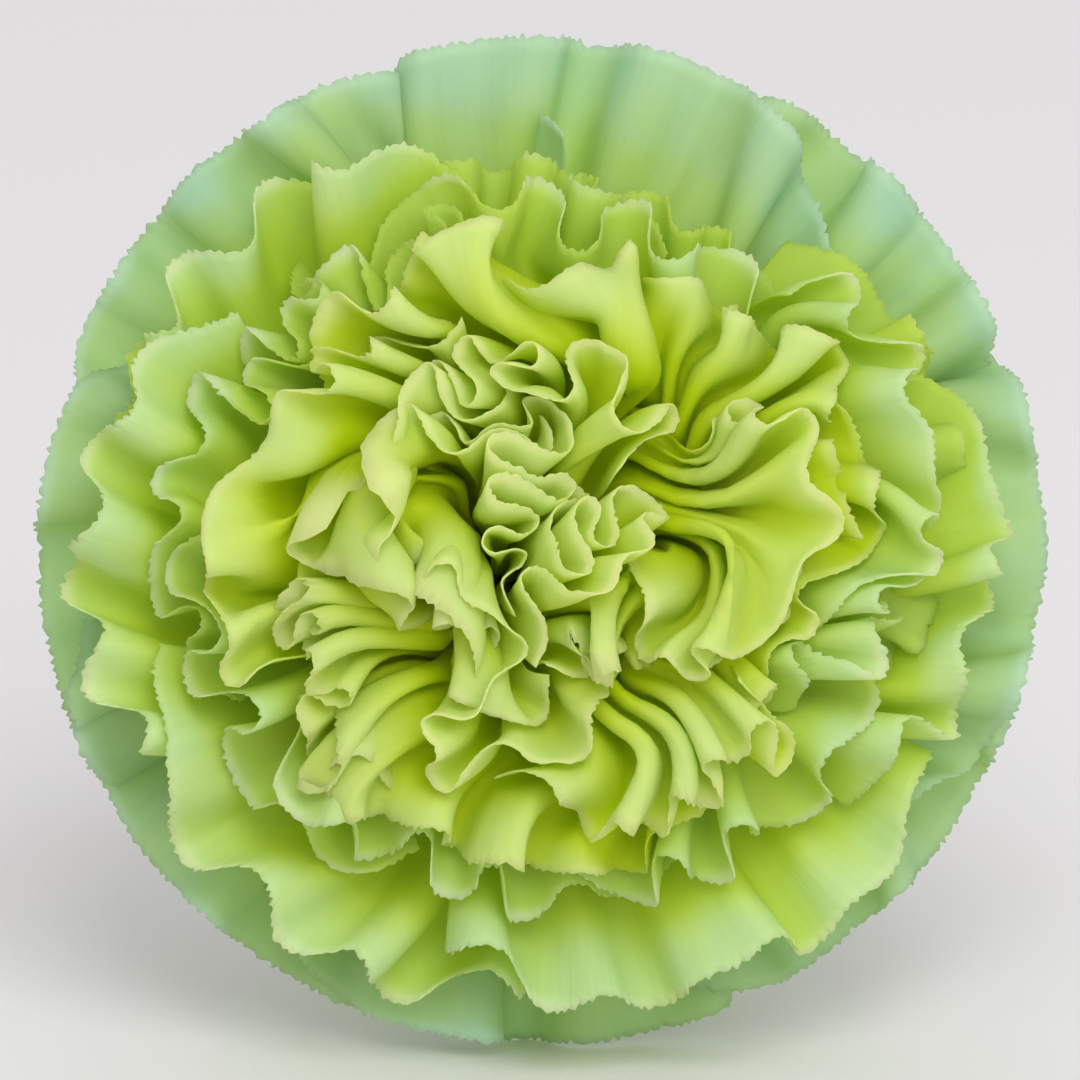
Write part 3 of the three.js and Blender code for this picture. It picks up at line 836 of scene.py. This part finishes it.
def same_sheet(a, b):
    """Whether points are so near each other on one blade that they needn't be watched."""
    beside = np.abs(column_of[a] - column_of[b]) <= NEAR_ON_SHEET[0]
    level = np.abs(row_of[a] - row_of[b]) <= NEAR_ON_SHEET[1]
    return (petal_of[a] == petal_of[b]) & beside & level


def part_sheets(points, pairs, thick):
    """Moves points of different sheets, or folds, apart until they are their thickness apart."""
    a, b = pairs
    gap = points[b] - points[a]
    distance = np.sqrt((gap * gap).sum(-1)) + 1e-6
    room = thick[a] + thick[b]
    hit = distance < room
    a, b = a[hit], b[hit]
    push = gap[hit] * (PUSH_APART * (distance[hit] - room[hit]) / distance[hit])[:, None]
    touches = np.bincount(a, minlength=len(points)) + np.bincount(b, minlength=len(points))
    for side in range(3):
        moved = np.bincount(a, push[:, side], len(points))
        moved -= np.bincount(b, push[:, side], len(points))
        points[:, side] += moved / np.maximum(1, 0.5 * touches)


def grow(bud):
    """Lets the margins grow and the blades buckle, and gives the opened blades."""
    width_now = apart(bud[:, 1:], bud[:, :-1])
    length = apart(bud[:, :, 1:], bud[:, :, :-1])
    width, ruffle = of_ring(BLADE_WIDTH)[..., 0], of_ring(RUFFLE)[..., 0]
    flare = mix(CLAW_WIDTH, width, ease(v, 0, 1.15) ** 0.8)
    flare = flare * (1 + (ruffle - 1) * np.clip((v - 0.55) / 0.45, 0, 1) ** 2)
    width_then = np.maximum(flare / (ACROSS - 1), width_now)
    blades = (bud + normals(bud) * np.array(first_waves)[..., None]).astype(np.float32)
    before = blades.copy()
    thick = np.broadcast_to(mix(SHEET_AT_FOOT, SHEET_AT_MARGIN, ease(v, 0, 0.55)), bud.shape[:3])
    thick = thick.reshape(-1)
    firm_foot = (FOOT_PULL * (1 - ease(v, 0.05, 0.42)))[..., None]
    stay = np.maximum(firm_foot, of_ring(BOWL_PULL)).astype(np.float32)
    for step in range(STEPS):
        across = mix(width_now, width_then, ease(step / STEPS, 0, GROWN_AFTER)).astype(np.float32)
        wide = 0.5 * (across[:, :, 1:] + across[:, :, :-1])
        slant = np.hypot(wide, 0.5 * (length[:, 1:] + length[:, :-1]))
        blades, before = blades + MOMENTUM * (blades - before), blades
        stiffen(blades, of_ring(STIFFNESS))
        off_bowl = np.swapaxes(blades - bud, 1, 2)
        stiffen(off_bowl, STIFFNESS_ALONG)
        blades = bud + np.swapaxes(off_bowl, 1, 2)
        for _ in range(2):
            hold(blades, 1, 0, across, SPRING)
            hold(blades, 0, 1, length, SPRING)
            hold(blades, 1, 1, slant, SLANTED_SPRING)
            hold(blades, 1, -1, slant, SLANTED_SPRING)
        three_wide = across[:, :-2] + across[:, 1:-1] + across[:, 2:]
        hold(blades, 3, 0, PINCH_SHARE * three_wide, PINCH_SPRING, only_push=True)
        points = blades.reshape(-1, 3)
        if step % STEPS_PER_SEARCH == 0:
            pairs = [free[found] for found in neighbours(points[free], TOUCH, same_sheet)]
        part_sheets(points, pairs, thick)
        blades = points.reshape(bud.shape)
        blades += (bud - blades) * stay
        blades += RECENTRE * (bud - blades).mean(1, keepdims=True)
        reach = np.hypot(blades[..., 0], blades[..., 1])
        blades[..., :2] *= np.minimum(1, BLOOM_RADIUS / np.maximum(reach, 1e-6))[..., None]
        blades[:, :, 0] = bud[:, :, 0]
    return blades


blades = grow(bud)

# The finished petals are finer than the growing ones. Folds that point inwards make the margin
# shorter, creases run along the blade, and the margin has teeth about a millimetre wide.
LOBE_DEPTH = [0.8, 0.8, 1.4, 2.4, 2.2, 0.5]
LOBE_REACH = 1.2
CREASES = 5, 8
CREASE_DEPTH = [0.1, 0.1, 0.15, 0.25, 0.45, 0.6]
TOOTH_DEPTH = [0.35, 0.35, 0.4, 0.55, 0.65, 0.75]
TOOTH_PITCH = 1.0
COLUMNS = 220
ROWS = 34
CLAW_ROWS = 5
CLAW_FOOT_RADIUS = 5.1
BASE_THICKNESS = 0.34
MARGIN_THICKNESS = 0.16
# the number of painted pleats across a blade: bands of painted shade and painted light
PAINTED_PLEATS = 9.0
VEINS = 95.0


def through(lines, places):
    """Smooth curves through the points on the first axis of lines, at places along it. places has
    one row for each wanted point and may have further axes, which go with those of lines."""
    last = len(lines) - 1
    k = np.clip(places.astype(int), 0, last - 1)
    t = (places - k)[..., None]

    def at(n):
        n = np.clip(n, 0, last)
        return lines[n] if places.ndim == 1 else lines[n, np.arange(lines.shape[1])[None, :]]

    p0, p1, p2, p3 = at(k - 1), at(k), at(k + 1), at(k + 2)
    if places.ndim == 1:
        t = t[:, None]
    curve = 2 * p1 + (p2 - p0) * t + (2 * p0 - 5 * p1 + 4 * p2 - p3) * t**2
    return 0.5 * (curve + (3 * p1 - 3 * p2 + p3 - p0) * t**3)


def teeth(length):
    """How much each column falls short of the margin, from 0 at a tooth's point to about 1."""
    x = np.linspace(0, length / TOOTH_PITCH, COLUMNS)
    wander = 0.35 * np.sin(0.9 * x + chance.uniform(0, 6.3)) + 0.2 * np.sin(2.3 * x + 1.0)
    place_in_tooth = np.mod(x + wander, 1)
    size = 0.65 + 0.35 * np.sin(np.floor(x + wander) * 2.4 + chance.uniform(0, 6.3))
    return size * np.abs(2 * place_in_tooth - 1) ** 0.8 + 0.5 * (1 - size)


def creased(blade, ring):
    """A growing blade with sharp creases that run along it."""
    turn = np.pi / 2 * chance.uniform(*CREASES) * u + chance.uniform(0, 2 * np.pi)
    crease = (0.6 - np.abs(np.sin(turn)) ** 0.8) * CREASE_DEPTH[ring] * ease(v, 0.05, 0.5)
    return blade + normals(blade) * crease[..., None]


def shortened(fine, ring):
    """How far the rows of a petal reach, from 0 to 1, after its lobes and teeth are cut."""
    margin = apart(fine[1:, -1], fine[:-1, -1]).sum()
    blade_length = apart(fine[COLUMNS // 2, 1:], fine[COLUMNS // 2, :-1]).sum()
    outward = np.hypot(fine[:, -1, 0], fine[:, -1, 1])
    weight = np.hanning(COLUMNS // 3)
    usual = np.convolve(outward, weight, "same") / np.convolve(1 + 0 * outward, weight, "same")
    lobe = LOBE_DEPTH[ring] * ease(usual - outward, -LOBE_REACH, LOBE_REACH) / blade_length
    nick = TOOTH_DEPTH[ring] * teeth(margin) / blade_length
    rows = np.linspace(0, 1, ROWS) ** 0.85
    cut = np.outer(ease(rows, 0.6, 1.0), lobe) + np.outer(ease(rows, 0.88, 1.0), nick)
    return rows[:, None] * (1 - cut)


def claw_of(ring, azimuth):
    """The narrow part of a petal, from the receptacle up to the mouth of the calyx."""
    middle_bowl = (ring + 0.5) * PITCH
    t = np.linspace(0, 1, CLAW_ROWS, endpoint=False)[:, None]
    foot_radius = mix(OVARY_RADIUS + 0.35, CLAW_FOOT_RADIUS, middle_bowl)
    radius = mix(foot_radius, mix(CROWN_CLAW_RADIUS, THROAT_RADIUS, middle_bowl), t)
    angle = azimuth + np.linspace(-1, 1, COLUMNS)[None, :] * CLAW_WIDTH / 2 / radius
    height = mix(claw_foot, 0.0, t) + 0 * angle
    return np.stack([radius * np.cos(angle), radius * np.sin(angle), height], -1)


def whole_petal(blade, ring, azimuth):
    """The fine middle surface of a petal, rows along by columns across, from its foot to its
    toothed margin, and how far along it each point is."""
    blade = creased(blade.astype(float), ring)
    fine = through(blade, np.linspace(0, ACROSS - 1, COLUMNS))
    reach = shortened(fine, ring)
    open_part = through(np.swapaxes(fine, 0, 1), reach * (ALONG - 1))
    claw_reach = np.linspace(-0.05, 0, CLAW_ROWS, endpoint=False)[:, None] + np.zeros(COLUMNS)
    middle = np.concatenate([claw_of(ring, azimuth), open_part])
    return middle, np.concatenate([claw_reach, reach])


# A map of the flower's top, as a grid of heights. What lies deep below it is painted a deeper lime,
# as painted shade between the petals.
CELL = 1.0
HALF_MAP = 48


def depth_in_flower(points, top):
    """How far points are below the flower's top near them, in millimetres."""
    at = points[..., :2] / CELL + HALF_MAP - 0.5
    cell = np.floor(at).astype(int)
    t = at - cell
    x, y = cell[..., 0], cell[..., 1]
    near = mix(top[x, y], top[x + 1, y], t[..., 0])
    far = mix(top[x, y + 1], top[x + 1, y + 1], t[..., 0])
    return mix(near, far, t[..., 1]) - points[..., 2]


petals = [whole_petal(*one) for one in zip(blades, ring_of, azimuths)]
every_point = np.concatenate([middle.reshape(-1, 3) for middle, _ in petals])
top = np.full((2 * HALF_MAP, 2 * HALF_MAP), every_point[:, 2].min())
cell = np.floor(every_point[:, :2] / CELL + HALF_MAP).astype(int)
np.maximum.at(top, (cell[:, 0], cell[:, 1]), every_point[:, 2])
for side in (0, 1, 0, 1):
    top = np.maximum(top, np.maximum(np.roll(top, 1, side), np.roll(top, -1, side)))
for side in (0, 1, 0, 1, 0, 1):
    top = (2 * top + np.roll(top, 1, side) + np.roll(top, -1, side)) / 4


def petal_material(name, base, blade, margin, mint, glow, mint_share, pleat_shade_share, painted_shade_share):
    """Lime where the blade leaves the claw, with painted shade of deeper lime between the petals,
    paler and cooler towards the margin, with painted pleats of shade and light and fine veins that
    fan out, and a thin pale edge, the margin's own colour, shown only near the top as painted light."""

    def fan(start, count, length):
        across, along = across_and_along(start)
        return start.node("ShaderNodeCombineXYZ", {}, {0: across * count, 1: along * length})

    def veins(start):
        return start.noise(fan(start, VEINS, 2.5), scale=1.0, detail=3.0, roughness=0.6)

    def colour(start):
        _, along = across_and_along(start)
        # how far below the flower's top this point lies, which drives the painted shade between the
        # petals
        deep = start.node("ShaderNodeAttribute", {"attribute_name": "depth"}, {}, 2)
        reach = along + 0.3 * (start.noise(here(start), scale=90.0, detail=4.0, roughness=0.55) - 0.5)
        green = reach.ease(0.25, 0.85).blend(base, blade)
        green = reach.ease(0.68, 1.02).blend(green, margin)
        cool = start.noise(here(start), scale=42.0, detail=3.0) * along.ease(0.35, 1.0)
        green = (mint_share * cool.ease(0.35, 0.75)).blend(green, mint)
        # painted shade and light of pleats: bands that fan out along the blade, deeper lime in one,
        # mint in the next
        pleat_light_and_shade = start.noise(fan(start, PAINTED_PLEATS, 1.3), scale=1.0, detail=1.0)
        green = (pleat_shade_share * pleat_light_and_shade.ease(0.5, 0.68) * along.ease(1.0, 0.8)).blend(green, base)
        green = (pleat_shade_share * pleat_light_and_shade.ease(0.48, 0.34) * along.ease(0.3, 0.9)).blend(green, mint)
        vein = veins(start)
        green = (0.14 * vein.ease(0.45, 0.75)).blend(green, [c * 1.2 for c in margin])
        green = (0.12 * vein.ease(0.55, 0.25)).blend(green, [c * 0.8 for c in base])
        # painted shade: the deeper a point lies below the flower's top, the more it turns to the deep
        # base lime
        green = (painted_shade_share * deep.ease(0.5, 6.5)).blend(green, base)
        # the thin pale edge is the margin's own paler colour, but it is kept only near the flower's
        # top, which is painted light
        edge = along.ease(0.945, 0.99) * deep.ease(9.0, 3.0)
        return (0.7 * edge).blend(green, [min(0.95, c * 1.3) for c in margin])

    def bump(start):
        fine = start.noise(here(start), scale=2600.0)
        return veins(start) + 0.25 * fine, 0.3, 0.0002

    return finish_material(
        name,
        colour,
        lambda start: 0.5 + 0.16 * start.noise(here(start), scale=600.0, detail=3.0),
        bump,
        see_through=(glow, 0.52),
        **{"Specular IOR Level": 0.22, "Sheen Weight": 0.06, "Sheen Roughness": 0.4},
    )


petal_materials = {
    "inner_petal": petal_material(
        "inner_petal_skin",
        base=(0.64, 0.77, 0.0),
        blade=(0.75, 0.87, 0.06),
        margin=(0.75, 0.87, 0.42),
        mint=(0.66, 0.86, 0.44),
        glow=(0.86, 0.95, 0.01),
        mint_share=0.25,
        pleat_shade_share=0.2,
        painted_shade_share=0.95,
    ),
    "outer_petal": petal_material(
        "outer_petal_skin",
        base=(0.58, 0.74, 0.0),
        blade=(0.73, 0.88, 0.18),
        margin=(0.72, 0.89, 0.60),
        mint=(0.58, 0.83, 0.62),
        glow=(0.80, 0.92, 0.03),
        mint_share=0.5,
        pleat_shade_share=0.35,
        painted_shade_share=0.7,
    ),
    "guard_petal": petal_material(
        "guard_petal_skin",
        base=(0.57, 0.73, 0.04),
        blade=(0.62, 0.79, 0.38),
        margin=(0.57, 0.77, 0.66),
        mint=(0.45, 0.73, 0.73),
        glow=(0.64, 0.84, 0.29),
        mint_share=0.65,
        pleat_shade_share=0.5,
        painted_shade_share=0.3,
    ),
}
for name, ring, (middle, along) in zip(names, ring_of, petals):
    across = np.linspace(0, 1, COLUMNS)[None, :] + 0 * along
    thin = mix(BASE_THICKNESS, MARGIN_THICKNESS, ease(along, 0.3, 1.0))
    slot = RING_SLOTS[ring]
    skin = petal_materials[slot]
    petal = sheet_piece(f"ruffled_{name}", middle, thin, across, along, skin, name, slot)
    # the depth of each point below the flower's top, for the painted shade between the petals
    depth = petal.data.attributes.new("depth", "FLOAT", "POINT")
    depth.data.foreach_set("value", np.tile(depth_in_flower(middle, top).ravel(), 2))

# ---------- Calyx ----------
# The green tube that holds the claws together, with fine long ribs. Its rim has five pointed teeth
# with thin pale edges.
CALYX_TEETH = 5
TOOTH_LENGTH = 5.5
CALYX_WALL = 0.8
CALYX_FOOT_RADIUS = 6.6
CALYX_MOUTH_RADIUS = 8.2
CALYX_ABOVE_STEM = 0.35
CALYX_LENGTH = -stem_top - CALYX_ABOVE_STEM
CALYX_SHOULDER = 0.16
FOOT_LIP = 0.6  # how far its foot stands off the stem
CUP_FLOOR = 3.2  # how far its inner face ends above its foot
CALYX_SKIRT = 0.9  # how far its foot reaches down round the stem
CALYX_RIBS = 35
RIB_HEIGHT = 0.07
CALYX_VEINS = 70
CALYX_COLUMNS = 400
CALYX_ROWS = 60
TOOTH_POWER = 2.4  # a higher power makes broader teeth
TOOTH_BREADTH = 0.4


def rim_edge(start):
    """The calyx's outer face goes from 0 at its foot to 0.5 at its rim along its UV map."""
    return across_and_along(start)[1].ease(0.475, 0.497)


calyx_material = finish_material(
    "waxy_calyx",
    waxy_green((0.16, 0.28, 0.06), (0.28, 0.42, 0.17), lines_across(CALYX_VEINS), rim_edge),
    waxy_roughness(0.4),
    veined_bump(CALYX_VEINS),
    see_through=((0.35, 0.55, 0.08), 0.12),
)


def calyx_radius(height):
    """The radius of its outer face, without the ribs, at a height below its mouth."""
    t = (height + CALYX_LENGTH) / CALYX_LENGTH
    body = mix(CALYX_FOOT_RADIUS, CALYX_MOUTH_RADIUS, t)
    return mix(STEM_RADIUS + FOOT_LIP, body, ease(t, 0, CALYX_SHOULDER))


angle = np.linspace(0, 2 * np.pi, CALYX_COLUMNS, endpoint=False)[None, :]
tooth = np.abs(2 * np.mod(angle * CALYX_TEETH / (2 * np.pi), 1) - 1)
rim = -TOOTH_LENGTH * mix(tooth, tooth**TOOTH_POWER, TOOTH_BREADTH)
t = np.linspace(0, 1, CALYX_ROWS)[:, None]
outer_height = mix(-CALYX_LENGTH - CALYX_SKIRT, rim, t)
ribs = RIB_HEIGHT * np.cos(CALYX_RIBS * angle) * ease(t, 0.05, 0.25)
outer_radius = calyx_radius(outer_height) + ribs
inner_height = mix(rim, -CALYX_LENGTH + CUP_FLOOR, t)
inner_radius = calyx_radius(inner_height) - CALYX_WALL * ease(t, -0.08, 0.12)
radius = np.concatenate([outer_radius, inner_radius[1:]])
height = np.concatenate([outer_height, inner_height[1:]])
rings = np.stack([radius * np.cos(angle), radius * np.sin(angle), height], -1)
piece("ribbed_calyx", *ring_solid(rings), calyx_material, "calyx", "calyx")

# ---------- Bracts ----------
# Two crossed pairs of short broad scales that clasp the foot of the calyx. Each ends in a small
# point and has a thin pale edge.
BRACT_LENGTH = 11.0
BRACT_THICKNESS = 0.5
BRACT_GAP = 0.12
BRACT_HALF_SPAN = np.radians(66)
BRACT_FOOT = 0.6  # how far above the calyx's foot the inner pair starts
OUTER_FOOT_LOWER = 0.9
OUTER_LENGTH = 0.88  # against the inner pair
BRACT_TIP = 0.003
BRACT_SIDES_SHORTER = 0.3
BRACT_VEINS = 40
BRACT_POINTS = 61


def bract_edge(start):
    return start.maths("MAXIMUM", side_edges(start), across_and_along(start)[1].ease(0.9, 0.99))


bract_material = finish_material(
    "waxy_bract",
    waxy_green((0.13, 0.25, 0.07), (0.26, 0.39, 0.20), lines_across(BRACT_VEINS), bract_edge),
    waxy_roughness(0.42),
    veined_bump(BRACT_VEINS),
    see_through=((0.3, 0.5, 0.1), 0.12),
)
u = np.linspace(-1, 1, BRACT_POINTS)[None, :]
v = np.linspace(0, 1, BRACT_POINTS)[:, None]
for pair, kind in enumerate(("inner_bract", "outer_bract")):
    for n in range(2):
        over = pair * (BRACT_THICKNESS + BRACT_GAP) * ease(np.abs(u), 0.12, 0.4)
        lift = BRACT_GAP + BRACT_THICKNESS / 2 + over
        azimuth = np.pi * n + pair * np.pi / 2
        length = BRACT_LENGTH * (OUTER_LENGTH if pair else 1.0)
        foot = -CALYX_LENGTH + BRACT_FOOT - OUTER_FOOT_LOWER * pair
        narrowing = np.maximum(1 - v**1.7, BRACT_TIP) ** 0.75 + 0 * u
        height = foot + v * length * (1 - BRACT_SIDES_SHORTER * (u * narrowing) ** 2)
        slope = calyx_radius(height + 0.5) - calyx_radius(height - 0.5)
        clear = calyx_radius(height) + lift / np.hypot(1, slope)
        height = height - lift * slope / np.hypot(1, slope)
        angle = azimuth + u * BRACT_HALF_SPAN * narrowing
        middle = np.stack([clear * np.cos(angle), clear * np.sin(angle), height], -1)
        thin = BRACT_THICKNESS * (1 - 0.6 * np.abs(u) ** 3) * (1 - 0.7 * v**3)
        name = f"{kind}_{n + 1}"
        across = u / 2 + 0.5
        sheet_piece(f"scale_{name}", middle, thin, across, v, bract_material, name, "bract")
